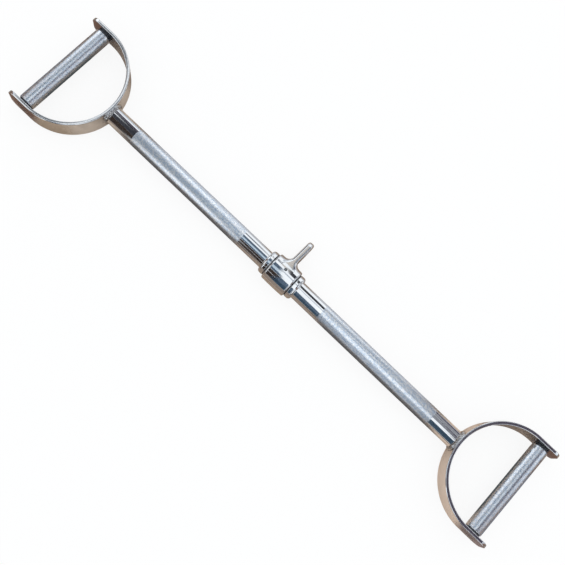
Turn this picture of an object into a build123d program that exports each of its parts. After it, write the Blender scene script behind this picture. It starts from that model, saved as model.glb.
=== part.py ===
from build123d import *
import math
import os

# Lat pulldown bar: a knurled steel bar with a revolving cast hanger at its middle
# and a bent strap stirrup with a turning grip at each end.
# Sizes are in millimetres. +X runs along the bar and +Z is up.
# The bar lies flat and the origin is on the floor, under the middle of the bar.

# Main bar
BAR_DIAMETER = 28.0
BAR_PLAIN_MIDDLE = 154.0
BAR_PLAIN_END = 47.5
KNURL_RISE = 0.15
KNURL_RUNOUT = 0.6

# Stirrup straps
GRIP_SPACING = 865.0
GRIP_SETBACK = 13.0
STRAP_BEND_RADIUS = 84.0
STRAP_THICKNESS = 5.0
STRAP_WIDTH = 38.0
STRAP_OVERHANG = 24.5
STRAP_CORNER_RADIUS = 12.0
STRAP_EDGE_RADIUS = 1.0
WELD_LEG = 4.0
WELD_CROWN = 0.7
WELD_ROOT_GAP = 0.2

# Turning grips
AXLE_DIAMETER = 16.0
GRIP_BUSH_WALL = 2.0
GRIP_BUSH_LENGTH = 18.0
GRIP_FLANGE_RISE = 1.0
GRIP_FLANGE_THICKNESS = 3.5
GRIP_WALL = 2.62
GRIP_PLAIN_END = 3.5
GRIP_END_CHAMFER = 0.8

# Revolving hanger
BARREL_LENGTH = 40.5
BARREL_WALL = 5.75
BARREL_CROWN = 0.4
BARREL_EDGE_RADIUS = 2.0
HANGER_BUSH_WALL = 2.0
HANGER_BUSH_LENGTH = 16.0
HANGER_FLANGE_RISE = 2.4
HANGER_FLANGE_THICKNESS = 1.2
TAB_THICKNESS = 9.4
TAB_EDGE_RADIUS = 3.4
TAB_FLARE_RADIUS = 9.0
TAB_FLARE_SINK = 0.6
EYE_DISTANCE = 53.0
EYE_BORE_DIAMETER = 16.0
EYE_WALL = 6.0
EYE_EDGE_RADIUS = 1.6
OIL_HOLE_DIAMETER = 4.0
OIL_HOLE_ANGLE = 86.0

# Stop collars
COLLAR_WALL = 5.0
COLLAR_WIDTH = 9.0
COLLAR_DOME_RADIUS = 4.5
COLLAR_EDGE_RADIUS = 0.8
SCREW_DIAMETER = 4.0
SCREW_RECESS = 0.6
SCREW_OFFSET = 3.6
SCREW_ANGLE = -60.0
SCREW_SOCKET_ACROSS_FLATS = 2.0
SCREW_SOCKET_DEPTH = 2.0

# Clearances
RUNNING_CLEARANCE = 0.08
END_PLAY = 0.4
FLOOR_CLEARANCE = 0.3

# Radii that follow from the sizes above
bar_radius = BAR_DIAMETER / 2
hanger_running_radius = bar_radius + RUNNING_CLEARANCE
hanger_bore_radius = hanger_running_radius + HANGER_BUSH_WALL
barrel_end_radius = hanger_bore_radius + BARREL_WALL
barrel_radius = barrel_end_radius + BARREL_CROWN
eye_radius = EYE_BORE_DIAMETER / 2 + EYE_WALL
collar_radius = bar_radius + COLLAR_WALL
strap_inner_radius = STRAP_BEND_RADIUS - STRAP_THICKNESS
axle_radius = AXLE_DIAMETER / 2
grip_running_radius = axle_radius + RUNNING_CLEARANCE
grip_bore_radius = grip_running_radius + GRIP_BUSH_WALL
grip_radius = grip_bore_radius + GRIP_WALL

# Places that follow from the sizes above
grip_x = GRIP_SPACING / 2
bend_x = grip_x - GRIP_SETBACK
nose_x = bend_x - STRAP_BEND_RADIUS
leg_length = GRIP_SETBACK + STRAP_OVERHANG
grip_flange_face = strap_inner_radius - END_PLAY
grip_half_length = grip_flange_face - GRIP_FLANGE_THICKNESS
barrel_half = BARREL_LENGTH / 2
tab_foot = TAB_THICKNESS / 2 + TAB_FLARE_RADIUS
flange_face = barrel_half + HANGER_FLANGE_THICKNESS
collar_x = flange_face + END_PLAY
axis_height = barrel_radius
tab_droop = math.degrees(math.asin((axis_height - eye_radius - FLOOR_CLEARANCE) / EYE_DISTANCE))

SIDES = {"left": -1, "right": 1}
ENDS = {"front": -1, "back": 1}
ALONG_X = Rot(0, 90, 0)
ALONG_Y = Rot(-90, 0, 0)


def turned(points):
    """Solid of revolution about X from (x, radius) points."""
    return revolve(make_face(Polyline(*points, close=True)), Axis.X)


def mirrored_profile(half):
    """Whole profile from the points of its +X half, outermost point last."""
    return [(-x, radius) for x, radius in reversed(half)] + half


def facing(side):
    """Turns a piece that is drawn for the right end to the asked end."""
    return Rot(0, 0, 0 if side > 0 else 180)


def main_bar():
    """Solid bar with two slightly raised knurl bands and saddle cut ends."""
    knurl_start = BAR_PLAIN_MIDDLE / 2
    knurl_stop = nose_x - BAR_PLAIN_END
    knurl_radius = bar_radius + KNURL_RISE
    bar = turned(mirrored_profile([
        (knurl_start, bar_radius),
        (knurl_start + KNURL_RUNOUT, knurl_radius),
        (knurl_stop - KNURL_RUNOUT, knurl_radius),
        (knurl_stop, bar_radius),
        (bend_x, bar_radius),
        (bend_x, 0),
    ]))
    saddle = Cylinder(STRAP_BEND_RADIUS + WELD_ROOT_GAP, 2 * BAR_DIAMETER)
    for side in SIDES.values():
        bar -= Pos(side * bend_x, 0, 0) * saddle
    return bar


def strap():
    """Flat strap bent to a U round the origin, with its legs along +X."""
    outer = STRAP_BEND_RADIUS
    inner = strap_inner_radius
    outline = [
        Line((leg_length, outer), (0, outer)),
        CenterArc((0, 0), outer, 90, 180),
        Line((0, -outer), (leg_length, -outer)),
        Line((leg_length, -outer), (leg_length, -inner)),
        Line((leg_length, -inner), (0, -inner)),
        CenterArc((0, 0), inner, 90, 180),
        Line((0, inner), (leg_length, inner)),
        Line((leg_length, inner), (leg_length, outer)),
    ]
    solid = extrude(make_face(outline), STRAP_WIDTH / 2, both=True)
    corner_limit = STRAP_WIDTH / 2 - 2 * STRAP_EDGE_RADIUS
    solid = fillet(solid.edges().filter_by(Axis.Y), min(STRAP_CORNER_RADIUS, corner_limit))
    # All sharp edges are softened. The seams where the bend runs into the legs are smooth already.
    bend_seams = solid.edges().filter_by(Axis.Z).filter_by_position(Axis.X, -1, 1)
    corner_seams = solid.edges().filter_by(Axis.Y)
    solid = fillet(solid.edges() - bend_seams - corner_seams, STRAP_EDGE_RADIUS)
    axle_hole = Cylinder(axle_radius, 3 * STRAP_BEND_RADIUS)
    return solid - Pos(GRIP_SETBACK, 0, 0) * ALONG_Y * axle_hole


def weld_bead():
    """Convex fillet bead round the bar's end, drawn about the bend centre of the right strap."""
    toe_radius = bar_radius + WELD_LEG
    bar_toe = -STRAP_BEND_RADIUS - WELD_LEG
    strap_toe = -math.sqrt(STRAP_BEND_RADIUS**2 - toe_radius**2)
    crown = ((bar_toe + strap_toe) / 2 - WELD_CROWN, (bar_radius + toe_radius) / 2 + WELD_CROWN)
    profile = [
        ThreePointArc((bar_toe, bar_radius), crown, (strap_toe, toe_radius)),
        Line((strap_toe, toe_radius), (0, toe_radius)),
        Line((0, toe_radius), (0, bar_radius)),
        Line((0, bar_radius), (bar_toe, bar_radius)),
    ]
    ring = revolve(make_face(profile), Axis.X)
    return ring - Cylinder(STRAP_BEND_RADIUS, 4 * toe_radius)


def screw_place():
    """Frame of a collar screw: Z points out along the screw."""
    return Pos(SCREW_OFFSET, 0, 0) * Rot(SCREW_ANGLE - 90, 0, 0)


def stop_collar():
    """Collar of the right side, with its flat face at X = 0 and a domed shoulder away from the hanger."""
    dome = min(COLLAR_DOME_RADIUS, COLLAR_WALL - COLLAR_EDGE_RADIUS / 2)
    edge = COLLAR_EDGE_RADIUS
    profile = [
        Line((0, bar_radius), (0, collar_radius - edge)),
        CenterArc((edge, collar_radius - edge), edge, 180, -90),
        Line((edge, collar_radius), (COLLAR_WIDTH - dome, collar_radius)),
        CenterArc((COLLAR_WIDTH - dome, collar_radius - dome), dome, 90, -90),
        Line((COLLAR_WIDTH, collar_radius - dome), (COLLAR_WIDTH, bar_radius)),
        Line((COLLAR_WIDTH, bar_radius), (0, bar_radius)),
    ]
    ring = revolve(make_face(profile), Axis.X)
    hole = Pos(0, 0, collar_radius) * Cylinder(SCREW_DIAMETER / 2, 2 * COLLAR_WALL + bar_radius)
    return ring - screw_place() * hole


def collar_screw():
    """Grub screw with a hex socket, seated on the bar and sunk into its collar."""
    length = COLLAR_WALL - SCREW_RECESS
    body = Pos(0, 0, bar_radius + length / 2) * Cylinder(SCREW_DIAMETER / 2, length)
    corner_radius = SCREW_SOCKET_ACROSS_FLATS / 2 / math.cos(math.pi / 6)
    socket = extrude(RegularPolygon(corner_radius, 6), SCREW_SOCKET_DEPTH)
    body -= Pos(0, 0, bar_radius + length - SCREW_SOCKET_DEPTH) * socket
    return screw_place() * body


def hanger_bush():
    """Flanged bush of the hanger's right end."""
    start = barrel_half - HANGER_BUSH_LENGTH
    flange_radius = hanger_bore_radius + HANGER_FLANGE_RISE
    return turned([
        (start, hanger_running_radius),
        (start, hanger_bore_radius),
        (barrel_half, hanger_bore_radius),
        (barrel_half, flange_radius),
        (flange_face, flange_radius),
        (flange_face, hanger_running_radius),
    ])


def hanger_barrel():
    """Crowned barrel of the casting, still without its bore."""
    left_rim = (-barrel_half, barrel_end_radius)
    right_rim = (barrel_half, barrel_end_radius)
    profile = [
        ThreePointArc(left_rim, (0, barrel_radius), right_rim),
        Line(right_rim, (barrel_half, 0)),
        Line((barrel_half, 0), (-barrel_half, 0)),
        Line((-barrel_half, 0), left_rim),
    ]
    barrel = revolve(make_face(profile), Axis.X)
    return fillet(barrel.edges().filter_by(GeomType.CIRCLE), BARREL_EDGE_RADIUS)


def tab_outline():
    """Tab seen along the bar, with X towards the eye: straight sides from the barrel's round to the eye's."""
    root_radius = barrel_radius - TAB_FLARE_SINK
    taper = math.asin((root_radius - eye_radius) / EYE_DISTANCE)
    lean = math.degrees(taper)
    root_x = root_radius * math.sin(taper)
    root_y = root_radius * math.cos(taper)
    eye_x = EYE_DISTANCE + eye_radius * math.sin(taper)
    eye_y = eye_radius * math.cos(taper)
    return make_face([
        CenterArc((0, 0), root_radius, 90 - lean, 180 + 2 * lean),
        Line((root_x, -root_y), (eye_x, -eye_y)),
        CenterArc((EYE_DISTANCE, 0), eye_radius, lean - 90, 180 - 2 * lean),
        Line((eye_x, eye_y), (root_x, root_y)),
    ])


def flared_disc():
    """Disc round the bar that has the tab's thickness and flares out to the barrel on both sides."""
    crown_drop = BARREL_CROWN * (tab_foot / barrel_half)**2
    foot_radius = barrel_radius - crown_drop - TAB_FLARE_SINK
    reach = EYE_DISTANCE + 2 * eye_radius
    section = Pos(0, foot_radius / 2) * Rectangle(2 * (tab_foot + TAB_FLARE_SINK), foot_radius)
    section += Pos(0, reach / 2) * Rectangle(TAB_THICKNESS, reach)
    tab_corners = section.vertices().group_by(Axis.Y)[1].sort_by(Axis.X)[1:3]
    return revolve(fillet(tab_corners, TAB_FLARE_RADIUS), Axis.X)


def hanger_tab():
    """Round-ended tab that stands across the bar and points to +Y, with its flare to the barrel."""
    disc = flared_disc()
    blank = Plane.YZ * extrude(tab_outline(), barrel_half, both=True)
    tab = disc & blank
    return fillet(new_edges(disc, blank, combined=tab), TAB_EDGE_RADIUS)


def is_eye_rim(edge):
    """True for the two round edges where the eye's bore leaves the tab."""
    return edge.geom_type == GeomType.CIRCLE and math.isclose(edge.radius, EYE_BORE_DIAMETER / 2)


def hanger_body():
    """Cast hanger: a crowned barrel that flares into the tab, with its bores and oil hole."""
    casting = hanger_barrel() + hanger_tab()
    casting -= Pos(0, EYE_DISTANCE, 0) * ALONG_X * Cylinder(EYE_BORE_DIAMETER / 2, BARREL_LENGTH)
    casting = fillet(casting.edges().filter_by(is_eye_rim), EYE_EDGE_RADIUS)
    casting -= ALONG_X * Cylinder(hanger_bore_radius, BARREL_LENGTH)
    oil_hole = Pos(0, 0, barrel_radius) * Cylinder(OIL_HOLE_DIAMETER / 2, 2 * barrel_radius)
    return casting - Rot(OIL_HOLE_ANGLE - 90, 0, 0) * oil_hole


def grip_sleeve():
    """Knurled tube of a grip, along Y and centred."""
    knurl_stop = grip_half_length - GRIP_PLAIN_END
    knurl_radius = grip_radius + KNURL_RISE
    sleeve = turned(mirrored_profile([
        (knurl_stop - KNURL_RUNOUT, knurl_radius),
        (knurl_stop, grip_radius),
        (grip_half_length - GRIP_END_CHAMFER, grip_radius),
        (grip_half_length, grip_radius - GRIP_END_CHAMFER),
        (grip_half_length, grip_bore_radius),
    ]))
    return Rot(0, 0, 90) * sleeve


def grip_bush(end):
    """Flanged bush in one end of a grip, along Y."""
    start = grip_half_length - GRIP_BUSH_LENGTH
    flange_radius = grip_bore_radius + GRIP_FLANGE_RISE
    bush = turned([
        (start, grip_running_radius),
        (start, grip_bore_radius),
        (grip_half_length, grip_bore_radius),
        (grip_half_length, flange_radius),
        (grip_flange_face, flange_radius),
        (grip_flange_face, grip_running_radius),
    ])
    return Rot(0, 0, 90 * end) * bush


def grip_axle():
    """Rod through both legs of a strap, ground flush with their outer faces."""
    return ALONG_Y * Cylinder(axle_radius, 2 * STRAP_BEND_RADIUS)


def assembly():
    """Every piece by its node name, with the bar's axis on X."""
    nodes = {
        "main_bar": main_bar(),
        "hanger_body": Rot(-tab_droop, 0, 0) * hanger_body(),
    }
    for name, side in SIDES.items():
        turn = facing(side)
        at_bend = Pos(side * bend_x, 0, 0) * turn
        at_grip = Pos(side * grip_x, 0, 0)
        at_collar = Pos(side * collar_x, 0, 0) * turn
        nodes["strap_" + name] = at_bend * strap()
        nodes["weld_" + name] = at_bend * weld_bead()
        nodes["hanger_bush_" + name] = turn * hanger_bush()
        nodes["stop_collar_" + name] = at_collar * stop_collar()
        nodes["collar_screw_" + name] = at_collar * collar_screw()
        nodes["grip_axle_" + name] = at_grip * grip_axle()
        nodes["grip_sleeve_" + name] = at_grip * grip_sleeve()
        for end_name, end in ENDS.items():
            nodes["grip_bush_" + name + "_" + end_name] = at_grip * grip_bush(end)
    return nodes


def main():
    os.makedirs("parts", exist_ok=True)
    for name, solid in assembly().items():
        export_step(Pos(0, 0, axis_height) * solid, "parts/" + name + ".step")


main()
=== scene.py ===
import itertools
import math

import bpy
import numpy as np
from mathutils import Matrix, Quaternion, Vector


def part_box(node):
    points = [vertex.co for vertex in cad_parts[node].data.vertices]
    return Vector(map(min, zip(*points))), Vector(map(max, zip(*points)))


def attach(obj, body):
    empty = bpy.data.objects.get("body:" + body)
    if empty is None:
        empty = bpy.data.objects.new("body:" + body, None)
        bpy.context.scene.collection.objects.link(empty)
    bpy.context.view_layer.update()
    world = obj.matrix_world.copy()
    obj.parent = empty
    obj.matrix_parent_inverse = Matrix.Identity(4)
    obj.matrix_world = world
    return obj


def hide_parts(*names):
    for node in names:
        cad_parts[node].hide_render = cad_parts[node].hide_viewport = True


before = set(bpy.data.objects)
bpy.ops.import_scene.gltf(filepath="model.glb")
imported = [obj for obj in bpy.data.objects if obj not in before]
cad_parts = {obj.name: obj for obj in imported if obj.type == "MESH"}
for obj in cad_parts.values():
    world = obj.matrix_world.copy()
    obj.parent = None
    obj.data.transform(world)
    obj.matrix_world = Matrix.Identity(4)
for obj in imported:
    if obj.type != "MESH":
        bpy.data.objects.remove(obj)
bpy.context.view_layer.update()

# Lengths of the object are in millimetres and become metres when a mesh is made. The studio is in metres.
MM = 0.001


def span(node, axis):
    """Size of a CAD node along an axis, in millimetres."""
    low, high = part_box(node)
    return (high[axis] - low[axis]) / MM


def edge(node, axis):
    """Highest coordinate of a CAD node along an axis, in millimetres."""
    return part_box(node)[1][axis] / MM


X, Y, Z = 0, 1, 2
ALONG_Y = Matrix.Rotation(math.radians(90), 3, "Z")
AXIS_HEIGHT = sum(corner.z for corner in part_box("main_bar")) / 2 / MM

# Main bar
KNURL_RISE = 0.15
BAR_RADIUS = span("main_bar", Y) / 2 - KNURL_RISE
BAR_PLAIN_MIDDLE = 154.0
BAR_PLAIN_END = 47.5

# Knurl
KNURL_PITCH = 1.5
KNURL_SLENDER = 1.55
KNURL_DEPTH = 0.09
KNURL_FROST = 0.23
# Scale of the knurl's speckle: partly wear, partly painted groove shade.
KNURL_WEAR_AND_SHADE_SPECKLE = 460.0
KNURL_WANDER = 0.07
KNURL_RUNOUT = 0.3
KNURL_CREASE = math.radians(35)

# Grips
GRIP_PLAIN_END = 3.5
GRIP_CHAMFER = 0.8

# Straps
STRAP_OUTER = span("strap_right", Y) / 2
STRAP_THICKNESS = 5.0
STRAP_WIDTH = span("strap_right", Z)
STRAP_CORNER = 12.0
STRAP_EDGE = 1.0
STRAP_EDGE_STEPS = 4
STRAP_CORNER_STATIONS = 14
STRAP_BEND_STATIONS = 121
STRAP_TIP = edge("strap_right", X)
GRIP_X = sum(corner.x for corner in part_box("grip_axle_right")) / 2 / MM
BEND_X = STRAP_TIP - span("strap_right", X) + STRAP_OUTER
NOSE_X = BEND_X - STRAP_OUTER
LEG_LENGTH = STRAP_TIP - BEND_X
AXLE_RADIUS = span("grip_axle_right", X) / 2
AXLE_BEVEL = 0.35

# Bushes
RUNNING_CLEARANCE = 0.08
BUSH_WALL = 2.0
GRIP_BUSH_BORE = AXLE_RADIUS + RUNNING_CLEARANCE
GRIP_BUSH_FLANGE = 3.5
GRIP_BORE = GRIP_BUSH_BORE + BUSH_WALL
HANGER_BUSH_BORE = BAR_RADIUS + RUNNING_CLEARANCE
HANGER_BUSH_FLANGE = 1.2
HANGER_BORE = HANGER_BUSH_BORE + BUSH_WALL

# Collars
COLLAR_SINK = 0.1
COLLAR_BORE_EDGE = 0.05
COLLAR_EDGE = 0.8
COLLAR_DOME = 4.4
COLLAR_STEPS = 9

# Welds
WELD_LEG = 4.2
WELD_BULGE = 1.1
WELD_SINK = 0.15
WELD_ROOT = Vector((0.3, -0.4))
WELD_STEPS = 9
WELD_RIPPLES = 24
WELD_RIPPLE_COLUMNS = 9
WELD_RIPPLE_SWEEP = 0.9
WELD_RIPPLE_LOW = 0.55
WELD_RIPPLE_RISE = 0.6
WELD_LUMP_COUNTS = (2, 3, 5, 7)
WELD_LUMP_SIZES = (0.03, 0.07)
WELD_SEEDS = {"left": 4, "right": 6}

# Hanger
BARREL_HALF = span("hanger_body", X) / 2
BARREL_RADIUS = AXIS_HEIGHT
BARREL_CROWN = 0.4
BARREL_EDGE = 2.0
BORE_EDGE = 0.5
TAB_HALF_AT_NECK = 4.6
TAB_HALF_AT_TIP = 4.7
TAB_EDGE = 3.4
TAB_SINK = 0.6
TAB_ROOT_RADIUS = BARREL_RADIUS - TAB_SINK
TAB_FLARE = 9.0
TAB_FLARE_REACH = 8.95
TAB_BLEND = 0.6
EYE_DISTANCE = 53.0
EYE_RADIUS = 14.0
EYE_BORE = 8.0
EYE_EDGE = 1.6
OIL_HOLE_RADIUS = 2.0
OIL_HOLE_ANGLE = math.radians(86)
FLOOR_CLEARANCE = 0.3
TAB_DROOP = math.asin((AXIS_HEIGHT - EYE_RADIUS - FLOOR_CLEARANCE) / EYE_DISTANCE)
NET_STEP = 0.8
NET_MARGIN = 1.3
NET_PULLS = 4
NET_LEAST_SLOPE = 0.2

# Turned pieces: their fineness, the open core of a solid one, and the angle that makes an edge hard
AXLE_COLUMNS = 64
BUSH_COLUMNS = 96
COLLAR_COLUMNS = 120
SCREW_COLUMNS = 32
CORE = 0.01
CREASE = math.radians(32)

# Photograph's camera
CAMERA_PLACE = Vector((0.06968, -0.26999, 1.16967))
CAMERA_TARGET = Vector((0.0081, -0.00707, 0.02223))
CAMERA_ROLL = math.radians(30.739)
CAMERA_LENS = 53.07

SIDES = {"left": -1, "right": 1}
ENDS = ("front", "back")


# Materials

NOISE_LOW = 0.3
NOISE_HIGH = 0.7
TONE_REACH = 0.2
# Spread of the knurl's speckle of wear and painted groove shade.
WEAR_AND_SHADE_SPECKLE_REACH = 0.1
FINE_NOISE = 14
NYLON_MOTTLE = 160.0
NYLON_GRAIN = 2600.0
# The colour sockets of a mix node share their names with others, so they are found by number.
MIX_FIRST, MIX_SECOND, MIX_RESULT = 6, 7, 2


def new_material(name):
    """New node material, with its nodes and its links."""
    material = bpy.data.materials.new(name)
    material.use_nodes = True
    return material, material.node_tree.nodes, material.node_tree.links


def noise(material, scale, detail):
    """Noise texture in object space."""
    nodes = material.node_tree.nodes
    place = nodes.new("ShaderNodeTexCoord")
    texture = nodes.new("ShaderNodeTexNoise")
    texture.inputs["Scale"].default_value = scale
    texture.inputs["Detail"].default_value = detail
    material.node_tree.links.new(place.outputs["Object"], texture.inputs["Vector"])
    return texture.outputs["Fac"]


def spread(material, value, low, high):
    """Brings a noise value to the range from low to high."""
    node = material.node_tree.nodes.new("ShaderNodeMapRange")
    node.inputs["From Min"].default_value = NOISE_LOW
    node.inputs["From Max"].default_value = NOISE_HIGH
    node.inputs["To Min"].default_value = low
    node.inputs["To Max"].default_value = high
    material.node_tree.links.new(value, node.inputs["Value"])
    return node.outputs["Result"]


def two_tone(material, value, tones, reach=TONE_REACH):
    """Colour that runs from one tone to the other as a noise value passes its middle by the reach."""
    first, second = tones
    ramp = material.node_tree.nodes.new("ShaderNodeValToRGB")
    ramp.color_ramp.elements[0].position = 0.5 - reach
    ramp.color_ramp.elements[0].color = (*first, 1)
    ramp.color_ramp.elements[1].position = 0.5 + reach
    ramp.color_ramp.elements[1].color = (*second, 1)
    material.node_tree.links.new(value, ramp.inputs["Fac"])
    return ramp.outputs["Color"]


def bump(material, value, strength, height):
    """Fine relief of the given height in millimetres."""
    node = material.node_tree.nodes.new("ShaderNodeBump")
    node.inputs["Strength"].default_value = strength
    node.inputs["Distance"].default_value = height * MM
    material.node_tree.links.new(value, node.inputs["Height"])
    return node.outputs["Normal"]


def calculate(material, operation, *values):
    """Result of a sum on node outputs and plain numbers."""
    node = material.node_tree.nodes.new("ShaderNodeMath")
    node.operation = operation
    for socket, value in zip(node.inputs, values):
        if isinstance(value, (int, float)):
            socket.default_value = value
        else:
            material.node_tree.links.new(value, socket)
    return node.outputs["Value"]


def within(material, axis, start, stop):
    """One where the distance from the middle along an axis is between two lengths in millimetres."""
    nodes, links = material.node_tree.nodes, material.node_tree.links
    place = nodes.new("ShaderNodeTexCoord")
    parts = nodes.new("ShaderNodeSeparateXYZ")
    links.new(place.outputs["Object"], parts.inputs["Vector"])
    distance = calculate(material, "ABSOLUTE", parts.outputs[axis])
    beyond = calculate(material, "GREATER_THAN", distance, start * MM)
    before = calculate(material, "LESS_THAN", distance, stop * MM)
    return calculate(material, "MULTIPLY", beyond, before)


def blend(material, share, first, second):
    """Mix of two colours by a share."""
    node = material.node_tree.nodes.new("ShaderNodeMix")
    node.data_type = "RGBA"
    material.node_tree.links.new(share, node.inputs["Factor"])
    material.node_tree.links.new(first, node.inputs[MIX_FIRST])
    material.node_tree.links.new(second, node.inputs[MIX_SECOND])
    return node.outputs[MIX_RESULT]


def metal(name, tones, gloss, ripple, scale, frost=None):
    """Bare or plated metal with a faint ripple. Its frosted zone is an axis, a start and a stop."""
    material, nodes, links = new_material(name)
    shader = nodes["Principled BSDF"]
    shader.inputs["Metallic"].default_value = 1.0
    broad = noise(material, scale, detail=4.0)
    fine = noise(material, scale * FINE_NOISE, detail=3.0)
    colour = two_tone(material, broad, tones)
    roughness = spread(material, fine, *gloss)
    if frost:
        zone = within(material, *frost)
        # Painted sky tint, and a speckle that is partly wear and partly painted groove shade.
        grain = noise(material, KNURL_WEAR_AND_SHADE_SPECKLE, detail=1.0)
        colour = blend(material, zone, colour, two_tone(material, grain, FROST_PAINTED_SKY_SHADE_AND_WEAR, WEAR_AND_SHADE_SPECKLE_REACH))
        roughness = calculate(material, "MULTIPLY_ADD", zone, KNURL_FROST, roughness)
    links.new(colour, shader.inputs["Base Color"])
    links.new(roughness, shader.inputs["Roughness"])
    links.new(bump(material, broad, *ripple), shader.inputs["Normal"])
    return material


def plastic(name, tones, gloss):
    """Moulded plastic with a fine grain."""
    material, nodes, links = new_material(name)
    shader = nodes["Principled BSDF"]
    broad = noise(material, NYLON_MOTTLE, detail=3.0)
    grain = noise(material, NYLON_GRAIN, detail=2.0)
    links.new(two_tone(material, broad, tones), shader.inputs["Base Color"])
    links.new(spread(material, grain, *gloss), shader.inputs["Roughness"])
    links.new(bump(material, grain, strength=0.3, height=0.05), shader.inputs["Normal"])
    return material


# Darker and lighter tone of each finish
PLATE = ((0.87, 0.88, 0.89), (0.93, 0.94, 0.95))
WELD = ((0.36, 0.35, 0.34), (0.72, 0.72, 0.72))
# Frosted knurl: bluish tint is painted sky reflection; speckle is partly wear, partly painted groove shade.
FROST_PAINTED_SKY_SHADE_AND_WEAR = ((0.70, 0.78, 0.88), (1.0, 1.0, 1.0))
STEEL = ((0.55, 0.55, 0.55), (0.62, 0.62, 0.62))
BLACK_OXIDE = ((0.05, 0.05, 0.055), (0.08, 0.08, 0.08))
NYLON = ((0.022, 0.024, 0.03), (0.04, 0.044, 0.054))

# Frosted zones: the bar's two knurled bands, and the whole length of a grip with its middle
BAR_KNURL = (X, BAR_PLAIN_MIDDLE / 2, NOSE_X - BAR_PLAIN_END)
GRIP_KNURL = (Y, -1.0, span("grip_sleeve_right", Y))

# Tones, range of roughness, strength and height of the ripple, scale of the noise and frosted zone
METALS = {
    "bar_chrome": (PLATE, (0.05, 0.09), (0.1, 0.02), 60.0, BAR_KNURL),
    "grip_chrome": (PLATE, (0.05, 0.09), (0.1, 0.02), 60.0, GRIP_KNURL),
    "strap_chrome": (PLATE, (0.05, 0.10), (0.15, 0.04), 40.0),
    "weld_chrome": (WELD, (0.08, 0.18), (0.4, 0.15), 420.0),
    "hanger_chrome": (PLATE, (0.04, 0.09), (0.15, 0.05), 50.0),
    "collar_chrome": (PLATE, (0.04, 0.08), (0.1, 0.02), 60.0),
    "axle_steel": (STEEL, (0.2, 0.32), (0.2, 0.03), 300.0),
    "screw_steel": (BLACK_OXIDE, (0.3, 0.45), (0.3, 0.03), 700.0),
}
MATERIALS = {name: metal(name, *finish) for name, finish in METALS.items()}
MATERIALS["black_nylon"] = plastic("black_nylon", NYLON, (0.35, 0.5))


# Mesh tools

def place_mesh(name, points, faces, turn=None, shift=(0, 0, 0)):
    """Object from points in millimetres, turned and then moved."""
    points = np.asarray(points, float)
    if turn is not None:
        points = points @ np.array(turn.to_3x3()).T
    points = (points + np.asarray(shift, float)) * MM
    mesh = bpy.data.meshes.new(name)
    mesh.from_pydata(points.tolist(), [], faces)
    mesh.shade_smooth()
    obj = bpy.data.objects.new(name, mesh)
    bpy.context.scene.collection.objects.link(obj)
    return obj


def dress(obj, body, slot, *nodes):
    """Gives a piece its body, its material and the CAD nodes that it stands for."""
    obj.data.materials.append(MATERIALS[slot])
    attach(obj, body)
    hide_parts(*nodes)


def crisp(obj):
    """Keeps flat faces flat and hard edges hard under smooth shading."""
    obj.data.set_sharp_from_angle(angle=CREASE)
    weight = obj.modifiers.new("face weight", "WEIGHTED_NORMAL")
    weight.keep_sharp = True


def drill(obj, cutter):
    """Cuts one closed mesh out of another."""
    cut = obj.modifiers.new("cut", "BOOLEAN")
    cut.operation = "DIFFERENCE"
    cut.solver = "EXACT"
    cut.object = cutter
    graph = bpy.context.evaluated_depsgraph_get()
    mesh = bpy.data.meshes.new_from_object(obj.evaluated_get(graph))
    obj.modifiers.clear()
    obj.data = mesh
    bpy.data.objects.remove(cutter)


def softened(corners, steps):
    """Closed outline with its corners rounded, from (x, y, corner radius)."""
    outline = []
    for before, here, after in zip(corners[-1:] + corners[:-1], corners, corners[1:] + corners[:1]):
        corner = Vector(here[:2])
        radius = here[2]
        back = (Vector(before[:2]) - corner).normalized()
        ahead = (Vector(after[:2]) - corner).normalized()
        half = back.angle(ahead) / 2
        reach = radius / math.tan(half)
        centre = corner + (back + ahead).normalized() * radius / math.sin(half)
        start = corner + back * reach - centre
        turn = start.angle_signed(corner + ahead * reach - centre)
        for step in range(steps + 1):
            spoke = start.copy()
            spoke.rotate(Matrix.Rotation(-turn * step / steps, 2))
            outline.append(tuple(centre + spoke))
    return outline


def ring_faces(rows, columns, closed):
    """Quads of a tube of rows and columns. A closed one joins its last row to its first."""
    faces = []
    for row in range(rows if closed else rows - 1):
        upper = (row + 1) % rows
        for column in range(columns):
            side = (column + 1) % columns
            faces.append((
                row * columns + column,
                row * columns + side,
                upper * columns + side,
                upper * columns + column,
            ))
    return faces


def lathe(name, outline, columns, turn=None, shift=(0, 0, 0)):
    """Closed turned ring about X from its (x, radius) outline."""
    angles = np.arange(columns) * math.tau / columns
    points = [
        (x, radius * math.cos(angle), radius * math.sin(angle))
        for x, radius in outline
        for angle in angles
    ]
    return place_mesh(name, points, ring_faces(len(outline), columns, True), turn, shift)


def rod(start, stop, radius):
    """Outline of a plain turned rod."""
    return [(start, CORE), (start, radius), (stop, radius), (stop, CORE)]


def knurl_rows(start, stop, peak):
    """Rows of a diamond knurl: on each ring the points are by turns peaks and groove crossings."""
    wanted = KNURL_PITCH * KNURL_SLENDER / 2
    count = 2 * round((stop - start) / wanted / 2)
    valley = peak - KNURL_DEPTH
    return [(start + (stop - start) * row / count, peak, valley) for row in range(1, count)]


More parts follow.
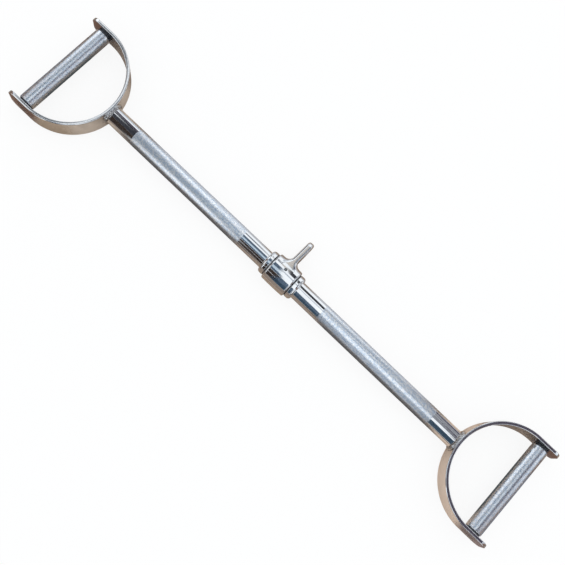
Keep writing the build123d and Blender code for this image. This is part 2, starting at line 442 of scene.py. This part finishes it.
def knurled_tube(name, rows, columns, closed, turn=None, shift=(0, 0, 0)):
    """Turned piece about X whose rows are (x, radius of even points, radius of odd points)."""
    draw = np.random.RandomState(len(rows))
    points = []
    for number, (x, even, odd) in enumerate(rows):
        for column in range(columns):
            radius = odd if (number + column) % 2 else even
            angle = column * math.tau / columns
            if even > odd:
                x_here = x + draw.uniform(-KNURL_WANDER, KNURL_WANDER)
                angle += draw.uniform(-KNURL_WANDER, KNURL_WANDER) / radius
                radius -= draw.uniform(0, KNURL_WANDER)
            else:
                x_here = x
            points.append((x_here, radius * math.cos(angle), radius * math.sin(angle)))
    faces = []
    knurled = []
    for quad in ring_faces(len(rows), columns, closed):
        pattern = [rows[corner // columns] for corner in quad]
        if all(even == odd for x, even, odd in pattern):
            faces.append(quad)
            knurled.append(False)
            continue
        # The split runs along the groove, from one crossing to the next.
        lows = [(corner // columns + corner % columns) % 2 for corner in quad]
        first = 0 if lows[0] else 1
        a, b, c, d = quad[first:] + quad[:first]
        faces += [(a, b, c), (a, c, d)]
        knurled += [True, True]
    if not closed:
        last = (len(rows) - 1) * columns
        faces.append(tuple(reversed(range(columns))))
        faces.append(tuple(range(last, last + columns)))
        knurled += [True, True]
    obj = place_mesh(name, points, faces, turn, shift)
    obj.data.polygons.foreach_set("use_smooth", [not flat for flat in knurled])
    return obj


# Pieces of the frame

def plain(x, radius):
    """Row of a turned piece without knurl."""
    return (x, radius, radius)


def main_bar():
    """Bar with two knurled bands, from strap to strap."""
    columns = 2 * round(math.tau * BAR_RADIUS / KNURL_PITCH)
    start = BAR_PLAIN_MIDDLE / 2
    stop = NOSE_X - BAR_PLAIN_END
    peak = BAR_RADIUS + KNURL_RISE
    # Close rings at the knurl's ends keep the plain bar straight in its reflections.
    right = [plain(start - KNURL_RUNOUT, BAR_RADIUS), plain(start, BAR_RADIUS)]
    right += knurl_rows(start, stop, peak)
    right += [plain(x, BAR_RADIUS) for x in (stop, stop + KNURL_RUNOUT, NOSE_X)]
    left = [(-x, even, odd) for x, even, odd in reversed(right)]
    bar = knurled_tube("knurled_bar", left + right, columns, False, shift=(0, 0, AXIS_HEIGHT))
    bar.data.set_sharp_from_angle(angle=KNURL_CREASE)
    dress(bar, "frame", "bar_chrome", "main_bar")


def strap_rows():
    """Stations along a strap: its middle point, outward direction and distance from the nearest tip."""
    middle = STRAP_OUTER - STRAP_THICKNESS / 2
    quarter = math.pi / 2
    edge_angles = np.linspace(0, quarter, STRAP_EDGE_STEPS, endpoint=False)
    first_corner = math.acos(1 - STRAP_EDGE / STRAP_CORNER)
    corner_angles = np.linspace(first_corner, quarter, STRAP_CORNER_STATIONS)
    tips = [STRAP_EDGE * (1 - math.cos(angle)) for angle in edge_angles]
    tips += [STRAP_CORNER * (1 - math.cos(angle)) for angle in corner_angles]
    leg = [((LEG_LENGTH - d, middle), (0, 1), d) for d in tips]
    bend = []
    for angle in np.linspace(quarter, 3 * quarter, STRAP_BEND_STATIONS):
        out = (math.cos(angle), math.sin(angle))
        bend.append(((out[0] * middle, out[1] * middle), out, LEG_LENGTH))
    return leg + bend + [((x, -y), (0, -1), d) for (x, y), out, d in reversed(leg)]


def strap_section(distance):
    """Rounded section of a strap at a distance from its tip, as (outward, height) points."""
    inset = 0.0
    if distance < STRAP_EDGE:
        inset = STRAP_EDGE - math.sqrt(STRAP_EDGE**2 - (STRAP_EDGE - distance)**2)
    half_width = STRAP_WIDTH / 2 - inset
    if distance < STRAP_CORNER:
        half_width -= STRAP_CORNER - math.sqrt(STRAP_CORNER**2 - (STRAP_CORNER - distance)**2)
    half_depth = STRAP_THICKNESS / 2 - inset
    corner = STRAP_EDGE - inset / 2
    return softened([
        (half_depth, -half_width, corner),
        (half_depth, half_width, corner),
        (-half_depth, half_width, corner),
        (-half_depth, -half_width, corner),
    ], STRAP_EDGE_STEPS)


def strap(name, turn, shift):
    """Flat strap bent to a U, with rounded tips and a hole in each leg for the axle."""
    points = []
    for (x, y), (out_x, out_y), distance in strap_rows():
        for depth, height in strap_section(distance):
            points.append((x + out_x * depth, y + out_y * depth, height))
    columns = len(strap_section(0))
    rows = len(points) // columns
    faces = ring_faces(rows, columns, False)
    faces.append(tuple(reversed(range(columns))))
    faces.append(tuple(range((rows - 1) * columns, rows * columns)))
    obj = place_mesh("strap_" + name + "_plate", points, faces, turn, shift)
    across = 3 * STRAP_OUTER
    axle_place = (math.copysign(GRIP_X, shift[0]), 0, AXIS_HEIGHT)
    drill(obj, lathe("hole", rod(-across, across, AXLE_RADIUS), AXLE_COLUMNS, ALONG_Y, axle_place))
    crisp(obj)
    dress(obj, "frame", "strap_chrome", "strap_" + name)


def grip_axle(name, side):
    """Rod through both legs. A fine bevel marks its ground ends in the straps."""
    outline = [
        (-STRAP_OUTER, CORE),
        (-STRAP_OUTER, AXLE_RADIUS - AXLE_BEVEL),
        (-STRAP_OUTER + AXLE_BEVEL, AXLE_RADIUS),
        (STRAP_OUTER - AXLE_BEVEL, AXLE_RADIUS),
        (STRAP_OUTER, AXLE_RADIUS - AXLE_BEVEL),
        (STRAP_OUTER, CORE),
    ]
    obj = lathe("axle_" + name, outline, AXLE_COLUMNS, ALONG_Y, (side * GRIP_X, 0, AXIS_HEIGHT))
    crisp(obj)
    dress(obj, "frame", "axle_steel", "grip_axle_" + name)


def weld(name, turn, shift):
    """Rippled bead in the corner between the bar's end and the strap."""
    draw = np.random.RandomState(WELD_SEEDS[name])
    waves = [
        (count, draw.uniform(0, math.tau), draw.uniform(*WELD_LUMP_SIZES)) for count in WELD_LUMP_COUNTS
    ]
    columns = WELD_RIPPLES * WELD_RIPPLE_COLUMNS
    points = []
    for number in range(columns):
        angle = number * math.tau / columns
        lump = 1 + sum(size * math.sin(count * angle + phase) for count, phase, size in waves)
        leg = WELD_LEG * lump
        corner = Vector((-math.sqrt(STRAP_OUTER**2 - (BAR_RADIUS * math.cos(angle))**2), BAR_RADIUS))
        rim = BAR_RADIUS + leg
        bar_toe = corner + Vector((-leg, -WELD_SINK))
        strap_x = WELD_SINK - math.sqrt(STRAP_OUTER**2 - (rim * math.cos(angle))**2)
        strap_toe = Vector((strap_x, rim))
        for step in range(WELD_STEPS):
            along = step / (WELD_STEPS - 1)
            arch = 4 * along * (1 - along)
            scallop = abs(math.sin(WELD_RIPPLES / 2 * angle + WELD_RIPPLE_SWEEP * arch))
            rise = WELD_BULGE * lump * arch * (WELD_RIPPLE_LOW + WELD_RIPPLE_RISE * scallop)
            x, radius = bar_toe.lerp(strap_toe, along) + Vector((-1, 1)).normalized() * rise
            points.append((x, radius * math.cos(angle), radius * math.sin(angle)))
        x, radius = corner + WELD_ROOT
        points.append((x, radius * math.cos(angle), radius * math.sin(angle)))
    obj = place_mesh("weld_bead_" + name, points, ring_faces(columns, WELD_STEPS + 1, True), turn, shift)
    dress(obj, "frame", "weld_chrome", "weld_" + name)


def collar(name, side):
    """Stop collar with a domed shoulder and the hole of its screw."""
    node = "stop_collar_" + name
    width = span(node, X)
    radius = span(node, Y) / 2
    inner = edge("stop_collar_right", X) - width
    outline = softened([
        (inner, BAR_RADIUS - COLLAR_SINK, COLLAR_BORE_EDGE),
        (inner, radius, COLLAR_EDGE),
        (inner + width, radius, COLLAR_DOME),
        (inner + width, BAR_RADIUS - COLLAR_SINK, COLLAR_BORE_EDGE),
    ], COLLAR_STEPS)
    outline = [(side * x, r) for x, r in outline]
    obj = lathe("collar_" + name, outline, COLLAR_COLUMNS, shift=(0, 0, AXIS_HEIGHT))
    low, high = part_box("collar_screw_" + name)
    screw = (low + high) / 2 / MM - Vector((0, 0, AXIS_HEIGHT))
    outward = Vector((0, screw.y, screw.z)).normalized()
    bore = span("collar_screw_" + name, X) / 2
    hole = rod(BAR_RADIUS, 2 * BAR_RADIUS, bore)
    turn = outward.to_track_quat("X", "Z").to_matrix()
    drill(obj, lathe("hole", hole, SCREW_COLUMNS, turn, (screw.x, 0, AXIS_HEIGHT)))
    crisp(obj)
    dress(obj, "frame", "collar_chrome", node)


# Pieces that turn

def round_union(a, b, radius):
    """Joins two distance fields with a fillet."""
    corner = np.hypot(np.maximum(radius - a, 0), np.maximum(radius - b, 0))
    return np.maximum(radius, np.minimum(a, b)) - corner


def round_meet(a, b, radius):
    """Keeps what two distance fields share, with a rounded edge."""
    corner = np.hypot(np.maximum(radius + a, 0), np.maximum(radius + b, 0))
    return np.minimum(-radius, np.maximum(a, b)) + corner


def tab_outline(y, z):
    """Distance to the tab's outline seen along the bar: a tapered bar with round ends."""
    z = np.abs(z)
    taper = (TAB_ROOT_RADIUS - EYE_RADIUS) / EYE_DISTANCE
    lean = math.sqrt(1 - taper**2)
    along = lean * y - taper * z
    root = np.hypot(y, z) - TAB_ROOT_RADIUS
    tip = np.hypot(y - EYE_DISTANCE, z) - EYE_RADIUS
    side = lean * z + taper * y - TAB_ROOT_RADIUS
    return np.where(along < 0, root, np.where(along > lean * EYE_DISTANCE, tip, side))


def hanger_distance(points):
    """Distance field of the cast hanger, with its tab along +Y."""
    x, y, z = points.T
    axis = np.hypot(y, z)
    crown = BARREL_RADIUS - BARREL_CROWN * (x / BARREL_HALF)**2
    barrel = round_meet(axis - crown, np.abs(x) - BARREL_HALF, BARREL_EDGE)
    reach = np.clip((y - BARREL_RADIUS) / (EYE_DISTANCE + EYE_RADIUS - BARREL_RADIUS), 0, 1)
    half = TAB_HALF_AT_NECK + (TAB_HALF_AT_TIP - TAB_HALF_AT_NECK) * reach
    fall = np.clip(TAB_FLARE - (axis - crown), 0, TAB_FLARE_REACH)
    flare = TAB_FLARE - np.sqrt(TAB_FLARE**2 - fall**2)
    tab = round_meet(tab_outline(y, z), np.abs(x) - half - flare, TAB_EDGE)
    casting = round_union(barrel, tab, TAB_BLEND)
    eye = np.hypot(y - EYE_DISTANCE, z) - EYE_BORE
    casting = round_meet(casting, -eye, EYE_EDGE)
    out = y * math.cos(OIL_HOLE_ANGLE) + z * math.sin(OIL_HOLE_ANGLE)
    aside = y * math.sin(OIL_HOLE_ANGLE) - z * math.cos(OIL_HOLE_ANGLE)
    oil = np.maximum(np.hypot(x, aside) - OIL_HOLE_RADIUS, -out)
    casting = round_meet(casting, -oil, BORE_EDGE)
    return round_meet(casting, HANGER_BORE - axis, BORE_EDGE)


def slope(distance, points, reach=0.01):
    """Gradient of a distance field."""
    steps = np.eye(3) * reach
    return np.stack([distance(points + s) - distance(points - s) for s in steps], 1) / (2 * reach)


def surface_net(distance, low, high, step):
    """Quad mesh of the zero surface of a distance field, with its points brought onto it."""
    axes = [np.arange(a, b + step, step) for a, b in zip(low, high)]
    shape = [len(a) for a in axes]
    grid = np.stack(np.meshgrid(*axes, indexing="ij"), -1).reshape(-1, 3)
    field = distance(grid).reshape(shape)
    cells = [n - 1 for n in shape]
    corners = list(itertools.product((0, 1), repeat=3))

    def part(offset):
        """Field at one corner of every cell."""
        return field[tuple(slice(o, o + n) for o, n in zip(offset, cells))]

    total = np.zeros((*cells, 3))
    hits = np.zeros(cells)
    for a in corners:
        for axis in range(3):
            if a[axis]:
                continue
            b = tuple(o + (k == axis) for k, o in enumerate(a))
            first, second = part(a), part(b)
            cross = (first < 0) != (second < 0)
            share = np.where(cross, first / np.where(cross, first - second, 1), 0)
            spot = np.array(a, float) + share[..., None] * np.eye(3)[axis]
            total += spot * cross[..., None]
            hits += cross
    active = hits > 0
    index = np.full(cells, -1)
    index[active] = np.arange(active.sum())
    points = np.argwhere(active) + total[active] / hits[active][:, None]
    points = points * step + np.array([a[0] for a in axes])
    faces = []
    for axis in range(3):
        u, v = (axis + 1) % 3, (axis + 2) % 3
        inside = field < 0
        ahead = np.take(inside, range(1, shape[axis]), axis)
        behind = np.take(inside, range(shape[axis] - 1), axis)
        for cell in np.argwhere(ahead != behind):
            if cell[u] == 0 or cell[v] == 0 or cell[u] >= cells[u] or cell[v] >= cells[v]:
                continue
            square = []
            for back_u, back_v in ((1, 1), (0, 1), (0, 0), (1, 0)):
                at = cell.copy()
                at[u] -= back_u
                at[v] -= back_v
                square.append(int(index[tuple(at)]))
            faces.append(tuple(square if behind[tuple(cell)] else reversed(square)))
    for _ in range(NET_PULLS):
        gradient = slope(distance, points)
        length = np.maximum((gradient**2).sum(1), NET_LEAST_SLOPE)
        points = points - gradient * (distance(points) / length)[:, None]
    return points, faces


def hanger():
    """Cast hanger, drooped so that its tab rests near the floor."""
    half_length = BARREL_HALF + NET_MARGIN
    half_height = BARREL_RADIUS + NET_MARGIN
    low = (-half_length, -half_height, -half_height)
    high = (half_length, EYE_DISTANCE + EYE_RADIUS + NET_MARGIN, half_height)
    points, faces = surface_net(hanger_distance, low, high, NET_STEP)
    normals = slope(hanger_distance, points)
    normals /= np.linalg.norm(normals, axis=1)[:, None]
    droop = Matrix.Rotation(-TAB_DROOP, 3, "X")
    obj = place_mesh("cast_hanger", points, faces, droop, (0, 0, AXIS_HEIGHT))
    obj.data.normals_split_custom_set_from_vertices((normals @ np.array(droop).T).tolist())
    dress(obj, "hanger", "hanger_chrome", "hanger_body")


def bush(name, node, body, axis, shift, bore, flange):
    """Flanged bush along X or Y, with its flange at the end away from the middle."""
    low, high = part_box(node)
    face, back = sorted((low[axis] / MM, high[axis] / MM), key=abs, reverse=True)
    rim = face - math.copysign(flange, face)
    outer = span(node, Z) / 2
    wall = bore + BUSH_WALL
    outline = [(back, bore), (back, wall), (rim, wall), (rim, outer), (face, outer), (face, bore)]
    obj = lathe(name, outline, BUSH_COLUMNS, ALONG_Y if axis == Y else None, shift)
    crisp(obj)
    dress(obj, body, "black_nylon", node)


def grip(name, side):
    """Knurled sleeve that turns on its axle."""
    node = "grip_sleeve_" + name
    half = span(node, Y) / 2
    peak = span(node, X) / 2
    radius = peak - KNURL_RISE
    columns = 2 * round(math.tau * radius / KNURL_PITCH)
    stop = half - GRIP_PLAIN_END
    end = [
        plain(stop, radius),
        plain(stop + KNURL_RUNOUT, radius),
        plain(half - GRIP_CHAMFER - KNURL_RUNOUT, radius),
        plain(half - GRIP_CHAMFER, radius),
        plain(half, radius - GRIP_CHAMFER),
        plain(half, GRIP_BORE),
    ]
    rows = [(-x, even, odd) for x, even, odd in reversed(end)]
    rows += knurl_rows(-stop, stop, peak) + end
    obj = knurled_tube("grip_" + name, rows, columns, True, ALONG_Y, (side * GRIP_X, 0, AXIS_HEIGHT))
    obj.data.set_sharp_from_angle(angle=KNURL_CREASE)
    dress(obj, name + "_grip", "grip_chrome", node)


main_bar()
hanger()
for side_name, side_sign in SIDES.items():
    half_turn = Matrix.Rotation(0 if side_sign > 0 else math.pi, 3, "Z")
    bend_place = (side_sign * BEND_X, 0, AXIS_HEIGHT)
    strap(side_name, half_turn, bend_place)
    weld(side_name, half_turn, bend_place)
    collar(side_name, side_sign)
    grip_axle(side_name, side_sign)
    grip(side_name, side_sign)
    bush(
        "hanger_bearing_" + side_name, "hanger_bush_" + side_name, "hanger",
        X, (0, 0, AXIS_HEIGHT), HANGER_BUSH_BORE, HANGER_BUSH_FLANGE,
    )
    for end_name in ENDS:
        bush(
            f"grip_bearing_{side_name}_{end_name}", f"grip_bush_{side_name}_{end_name}", side_name + "_grip",
            Y, (side_sign * GRIP_X, 0, AXIS_HEIGHT), GRIP_BUSH_BORE, GRIP_BUSH_FLANGE,
        )
    screw_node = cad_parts["collar_screw_" + side_name]
    screw_node.data.materials.clear()
    screw_node.data.materials.append(MATERIALS["screw_steel"])


# Studio

FLOOR_HALF = 4.0
FLOOR_COLOUR = (0.93, 0.93, 0.92)
FLOOR_GLOW = 0.88
CARD_ROUGHNESS = 0.9
CARD_SPECULAR = 0.1
CARD_SOFTNESS = 0.07
BOARD_SOFTNESS = 0.024
BACKDROP_COLOUR = (0.92, 0.96, 1.0)
BACKDROP_STRENGTH = 1.05
LAMP_PLACE = Vector((0.5, 0.5, 1.9))
LAMP_COLOUR = (1.0, 0.96, 0.92)
LAMP_SIZE = 1.6
LAMP_POWER = 3.0


def stage_plane(name, centre, across, up, colour, glow=0.0):
    """Flat stage card from its middle and its two half sides. A panel also glows in its colour."""
    centre, across, up = Vector(centre), Vector(across), Vector(up)
    corners = [centre - across - up, centre + across - up, centre + across + up, centre - across + up]
    mesh = bpy.data.meshes.new(name)
    mesh.from_pydata([tuple(c) for c in corners], [], [(0, 1, 2, 3)])
    obj = bpy.data.objects.new(name, mesh)
    bpy.context.scene.collection.objects.link(obj)
    material, nodes, _ = new_material(name)
    shader = nodes["Principled BSDF"]
    shader.inputs["Roughness"].default_value = CARD_ROUGHNESS
    shader.inputs["Specular IOR Level"].default_value = CARD_SPECULAR
    shader.inputs["Base Color"].default_value = (*colour, 1)
    shader.inputs["Emission Color"].default_value = (*colour, 1)
    shader.inputs["Emission Strength"].default_value = glow
    mesh.materials.append(material)
    return obj


def whiten(material):
    """Lifts the floor towards white where the camera, metal or glass sees it. Its shadows stay, faintly."""
    nodes, links = material.node_tree.nodes, material.node_tree.links
    rays = nodes.new("ShaderNodeLightPath").outputs
    seen = calculate(material, "ADD", rays["Is Camera Ray"], rays["Is Glossy Ray"])
    seen = calculate(material, "ADD", seen, rays["Is Transmission Ray"])
    share = calculate(material, "MULTIPLY", seen, FLOOR_GLOW)
    glow = nodes.new("ShaderNodeEmission")
    mix = nodes.new("ShaderNodeMixShader")
    links.new(share, mix.inputs["Fac"])
    links.new(nodes["Principled BSDF"].outputs["BSDF"], mix.inputs[1])
    links.new(glow.outputs["Emission"], mix.inputs[2])
    links.new(mix.outputs["Shader"], nodes["Material Output"].inputs["Surface"])


def fade_edges(material, sides, soft):
    """Fades a card out across its edges. Its sides are (axis, middle, half length)."""
    nodes, links = material.node_tree.nodes, material.node_tree.links
    place = nodes.new("ShaderNodeTexCoord")
    parts = nodes.new("ShaderNodeSeparateXYZ")
    links.new(place.outputs["Object"], parts.inputs["Vector"])
    share = 1.0
    for axis, middle, half in sides:
        offset = calculate(material, "SUBTRACT", parts.outputs[axis], middle)
        inside = calculate(material, "SUBTRACT", half, calculate(material, "ABSOLUTE", offset))
        inward = calculate(material, "DIVIDE", inside, soft)
        share = calculate(material, "MULTIPLY", share, calculate(material, "MINIMUM", inward, 1.0))
    clear = nodes.new("ShaderNodeBsdfTransparent")
    mix = nodes.new("ShaderNodeMixShader")
    links.new(share, mix.inputs["Fac"])
    links.new(clear.outputs["BSDF"], mix.inputs[1])
    links.new(nodes["Principled BSDF"].outputs["BSDF"], mix.inputs[2])
    links.new(mix.outputs["Shader"], nodes["Material Output"].inputs["Surface"])


def reflector(name, x, y, z, colour, glow=0.0):
    """Studio card that shows only in the metal. It spans two ranges and lies flat in the third."""
    ranges = [place if isinstance(place, tuple) else (place, place) for place in (x, y, z)]
    centre = [(low + high) / 2 for low, high in ranges]
    lengths = {axis: high - low for axis, (low, high) in enumerate(ranges) if high > low}
    soft = BOARD_SOFTNESS if name.startswith("board") else CARD_SOFTNESS
    soft = min(soft, min(lengths.values()) / 2)
    sides = [(axis, centre[axis], (length + soft) / 2) for axis, length in lengths.items()]
    across, up = [Matrix.Identity(3)[axis] * half for axis, _, half in sides]
    obj = stage_plane(name, centre, across, up, colour, glow)
    fade_edges(obj.data.materials[0], sides, soft)
    obj.visible_camera = False
    obj.visible_diffuse = False
    obj.visible_shadow = False


RIGHT_TAN = (0.76, 0.58, 0.45)
LEFT_TAN = (0.59, 0.47, 0.37)
BEND_TAN = (0.42, 0.31, 0.22)
NEAR_TAN = (0.34, 0.255, 0.20)
FAR_TAN = (0.26, 0.20, 0.16)
LEG_TAN = (0.26, 0.19, 0.17)
DEEP_TAN = (0.12, 0.105, 0.095)
SIDE_TAN = (0.50, 0.43, 0.38)
RUST = (0.19, 0.11, 0.08)
BROWN = (0.035, 0.023, 0.018)
NAVY = (0.038, 0.066, 0.098)
SLATE = (0.085, 0.12, 0.17)
BLACK = (0.04, 0.04, 0.048)
PLUM = (0.085, 0.072, 0.095)
MOSS = (0.10, 0.105, 0.10)
ASH = (0.105, 0.115, 0.125)
VIOLET = (0.19, 0.21, 0.27)
GREY = (0.26, 0.26, 0.28)
HAZE = (0.30, 0.36, 0.42)
MIST = (0.40, 0.44, 0.49)
SKY = (0.53, 0.63, 0.72)
PEARL = (0.52, 0.51, 0.52)
CLOUD = (0.54, 0.57, 0.62)
PALE = (0.64, 0.66, 0.71)
LINEN = (0.64, 0.58, 0.52)
WHITE = (0.92, 0.96, 1.0)

PANEL_GLOW = 0.62
LOFT_GLOW = 0.40

# Name, place in X, Y and Z and colour of each card that the metal reflects. Panels have a glow as well.
CARDS = [
    # Boards just above the floor
    ("board_far", (-2.0, 2.0), (-1.3, 0.5), 0.0001, FAR_TAN),
    ("board_back", (-0.28, 0.28), (0.02, 0.5), 0.0002, PEARL),
    ("board_knurl_left", (-0.3, -0.06), (-0.2, 0.02), 0.00025, DEEP_TAN),
    ("board_knurl_right", (0.06, 0.3), (-0.2, 0.02), 0.00025, DEEP_TAN),
    ("board_middle", (-0.085, 0.085), (-0.08, 0.02), 0.0003, NEAR_TAN),
    ("board_front", (-0.035, 0.035), (-0.045, 0.02), 0.0004, BEND_TAN),
    ("board_tab", (-0.05, 0.05), (0.0, 0.12), 0.00035, NEAR_TAN),
    ("board_left", (-0.49, -0.32), (-0.115, 0.115), 0.0003, LEFT_TAN),
    ("board_end_left", (-0.333, -0.29), (-0.2, -0.052), 0.0004, DEEP_TAN),
    ("board_right", (0.315, 0.49), (-0.115, 0.115), 0.0003, RIGHT_TAN),
    ("board_bend_left", (-0.415, -0.355), (-0.115, -0.055), 0.0004, BEND_TAN),
    ("board_leg_left", (-0.49, -0.412), (-0.115, -0.08), 0.0007, RUST),
    ("board_leg_right", (0.418, 0.49), (-0.115, -0.08), 0.0007, LEG_TAN),
    ("board_arch_left", (-0.44, -0.35), (0.045, 0.08), 0.0004, NEAR_TAN),
    ("board_arch_right", (0.35, 0.44), (0.045, 0.08), 0.0004, NEAR_TAN),
    ("board_in_left", (-0.432, -0.37), (-0.055, 0.055), 0.0005, MOSS),
    ("board_in_right", (0.37, 0.432), (-0.055, 0.055), 0.0005, MOSS),
    ("board_out_left", (-0.51, -0.432), (-0.075, 0.075), 0.0006, VIOLET),
    ("board_out_right", (0.432, 0.51), (-0.075, 0.075), 0.0006, VIOLET),
    ("board_tip_left", (-0.52, -0.443), (0.05, 0.08), 0.0007, RUST),
    ("board_tip_right", (0.443, 0.52), (0.05, 0.08), 0.0007, RUST),
    # Beyond the ends of the bar
    ("side_left", -1.9, (-1.8, 2.2), (0.2, 0.8), SIDE_TAN),
    ("side_left_low", -1.91, (-1.8, 2.2), (0.0, 0.24), BROWN),
    ("side_left_high", -1.9, (-1.8, 2.2), (1.7, 2.8), PALE),
    ("side_left_near", -1.89, (-0.1, 0.4), (0.3, 1.7), MIST),
    ("side_left_glow", -1.89, (0.5, 0.9), (0.45, 1.8), WHITE, PANEL_GLOW),
    ("side_left_tip", -1.88, (-0.3, 0.2), (0.1, 2.2), RUST),
    ("side_right", 1.9, (-1.2, 2.2), (0.2, 2.6), PALE),
    ("side_right_white", 1.89, (0.5, 0.85), (0.3, 1.4), WHITE),
    ("side_right_tip", 1.88, (-0.3, 0.21), (0.1, 2.2), RUST),
    ("side_right_low", 1.91, (-1.2, 2.2), (0.0, 0.24), BROWN),
    # On the camera's side
    ("front_low", (-0.12, 0.15), -1.302, (0.01, 0.79), NAVY),
    ("front_high", (-0.12, 0.15), -1.3, (0.75, 2.25), SLATE),
    ("front_fill", (0.135, 0.515), -1.31, (0.05, 1.75), CLOUD),
    ("front_right", (0.5, 0.92), -1.3, (0.05, 2.15), NAVY),
    ("front_brown", (-0.28, -0.05), -1.305, (0.01, 0.98), BROWN),
    ("front_brown_high", (-0.4, -0.05), -1.306, (0.95, 2.12), BROWN),
    ("front_streak", (-0.28, -0.13), -1.29, (0.78, 0.88), PEARL),
    ("front_glow", (-0.68, -0.29), -1.32, (0.35, 1.4), WHITE, PANEL_GLOW),
    ("front_left", (-1.23, -0.68), -1.3, (0.0, 2.2), BROWN),
    # Overhead
    ("flag_left", (-1.3, -0.82), (-1.3, 0.24), 2.2, BLACK),
    ("flag_left_middle", (-1.075, -0.82), (0.2, 0.82), 2.202, BLACK),
    ("flag_left_back", (-1.3, -0.82), (0.78, 1.5), 2.2, BLACK),
    ("flag_end", (-1.45, -1.2), (0.24, 0.78), 2.2, ASH),
    ("loft_left", (-0.86, -0.39), (-1.15, 0.75), 2.21, HAZE),
    ("sky_left", (-0.42, -0.17), (-0.6, 0.1), 2.2, SKY),
    ("dusk_front", (-0.51, -0.11), (-1.3, -0.58), 2.205, SLATE),
    ("dusk_left", (-0.42, -0.17), (0.08, 1.1), 2.205, SLATE),
    ("veil", (-0.15, 0.36), (0.36, 0.72), 2.22, CLOUD),
    ("veil_right", (0.14, 0.36), (0.38, 0.72), 2.218, HAZE),
    ("loft_glow", (0.1, 0.6), (-1.6, 0.3), 2.23, WHITE, LOFT_GLOW),
    ("loft_right", (0.34, 0.62), (0.25, 0.85), 2.21, HAZE),
    ("grey_right", (0.6, 0.86), (-0.1, 1.34), 2.215, GREY),
    ("flag_right", (0.82, 1.9), (-0.8, 1.5), 2.2, PLUM),
    # On the tab's side
    ("back_left", (-1.2, -0.8), 1.5, (1.0, 2.3), PLUM),
    ("back_line", (-0.085, 0.19), 1.5, (0.92, 2.5), BLACK),
    ("back_line_left", (-0.38, -0.2), 1.505, (0.75, 1.45), GREY),
    ("back_tab", (-0.2, -0.07), 1.51, (1.1, 1.7), LINEN),
    ("back_tab_left", (-1.7, -0.95), 1.52, (0.4, 1.2), BLACK),
    ("back_tab_right", (0.95, 1.65), 1.52, (0.4, 1.2), BLACK),
    ("back_glow", (-0.8, -0.38), 1.53, (0.8, 2.0), WHITE, PANEL_GLOW),
    ("back_low_left", (-0.95, -0.3), 1.51, (0.02, 0.5), CLOUD),
    ("back_fill", (0.18, 0.58), 1.51, (0.4, 2.2), MIST),
    ("back_right", (0.58, 0.9), 1.5, (0.6, 2.3), GREY),
    ("back_right_low", (0.45, 0.85), 1.505, (0.04, 0.64), PLUM),
]


def studio():
    """Pale floor, even white surroundings, one soft lamp and the cards round the object."""
    floor = stage_plane("floor", (0, 0, 0), (FLOOR_HALF, 0, 0), (0, FLOOR_HALF, 0), FLOOR_COLOUR)
    whiten(floor.data.materials[0])
    for card in CARDS:
        reflector(*card)
    world = bpy.data.worlds.new("studio")
    bpy.context.scene.world = world
    world.use_nodes = True
    backdrop = world.node_tree.nodes["Background"]
    backdrop.inputs["Color"].default_value = (*BACKDROP_COLOUR, 1)
    backdrop.inputs["Strength"].default_value = BACKDROP_STRENGTH
    lamp = bpy.data.lights.new("soft_box", "AREA")
    lamp.size = LAMP_SIZE
    lamp.energy = LAMP_POWER
    lamp.color = LAMP_COLOUR
    holder = bpy.data.objects.new("soft_box", lamp)
    holder.location = LAMP_PLACE
    holder.rotation_euler = (-LAMP_PLACE).to_track_quat("-Z", "Y").to_euler()
    holder.visible_glossy = False
    bpy.context.scene.collection.objects.link(holder)


def photograph_camera():
    """Camera where the photograph was taken from."""
    camera = bpy.data.cameras.new("photograph")
    camera.lens = CAMERA_LENS
    holder = bpy.data.objects.new("photograph", camera)
    holder.location = CAMERA_PLACE
    level = (CAMERA_TARGET - CAMERA_PLACE).to_track_quat("-Z", "Y")
    holder.rotation_mode = "QUATERNION"
    holder.rotation_quaternion = level @ Quaternion((0, 0, 1), CAMERA_ROLL)
    bpy.context.scene.collection.objects.link(holder)
    bpy.context.scene.camera = holder


studio()
photograph_camera()
bpy.context.scene.view_settings.view_transform = "Standard"
